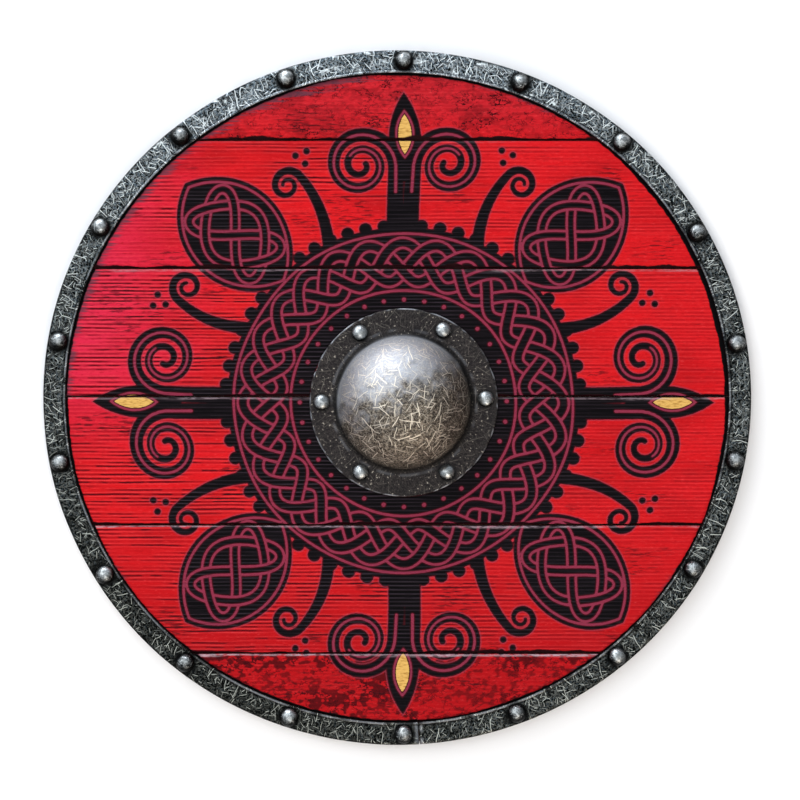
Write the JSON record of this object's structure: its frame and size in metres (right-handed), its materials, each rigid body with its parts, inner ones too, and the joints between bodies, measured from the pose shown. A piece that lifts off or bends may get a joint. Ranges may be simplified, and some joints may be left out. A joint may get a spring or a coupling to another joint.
{
  "type": "round wooden shield",
  "caption": "Round plank shield with a riveted iron rim band, a hollow domed boss over a hand hole, and a wooden grip across the back.",
  "frame": {"origin": "middle of the oval outline, on the plane of the rim's back, which the shield lies on", "axes": "+Z out of the painted face through the boss, +X along the boards to the right, +Y across the boards to the top"},
  "size_m": [0.61, 0.598, 0.0627],
  "materials": {
    "painted_board": "red paint on wire-brushed pine, with black pattern and scuffs",
    "rim_iron": "blackened sheet iron, densely scratched",
    "rivet_iron": "worn iron with a dark ring of grime",
    "boss_iron": "worn iron dome, blackened flange",
    "grip_wood": "oiled hardwood"
  },
  "bodies": {
    "root": {"board_1_bottom": "painted_board", "board_2": "painted_board", "board_3": "painted_board", "board_4": "painted_board", "board_5": "painted_board", "board_6_top": "painted_board", "rim_band": "rim_iron", "boss": "boss_iron", "grip": "grip_wood", "rim_rivet_01": "rivet_iron", "rim_rivet_02": "rivet_iron", "rim_rivet_03": "rivet_iron", "rim_rivet_04": "rivet_iron", "rim_rivet_05": "rivet_iron", "rim_rivet_06": "rivet_iron", "rim_rivet_07": "rivet_iron", "rim_rivet_08": "rivet_iron", "rim_rivet_09": "rivet_iron", "rim_rivet_10": "rivet_iron", "rim_rivet_11": "rivet_iron", "rim_rivet_12": "rivet_iron", "rim_rivet_13": "rivet_iron", "rim_rivet_14": "rivet_iron", "rim_rivet_15": "rivet_iron", "rim_rivet_16": "rivet_iron", "rim_rivet_17": "rivet_iron", "rim_rivet_18": "rivet_iron", "boss_rivet_1": "rivet_iron", "boss_rivet_2": "rivet_iron", "boss_rivet_3": "rivet_iron", "boss_rivet_4": "rivet_iron", "boss_rivet_5": "rivet_iron", "boss_rivet_6": "rivet_iron"}
  },
  "joints": []
}
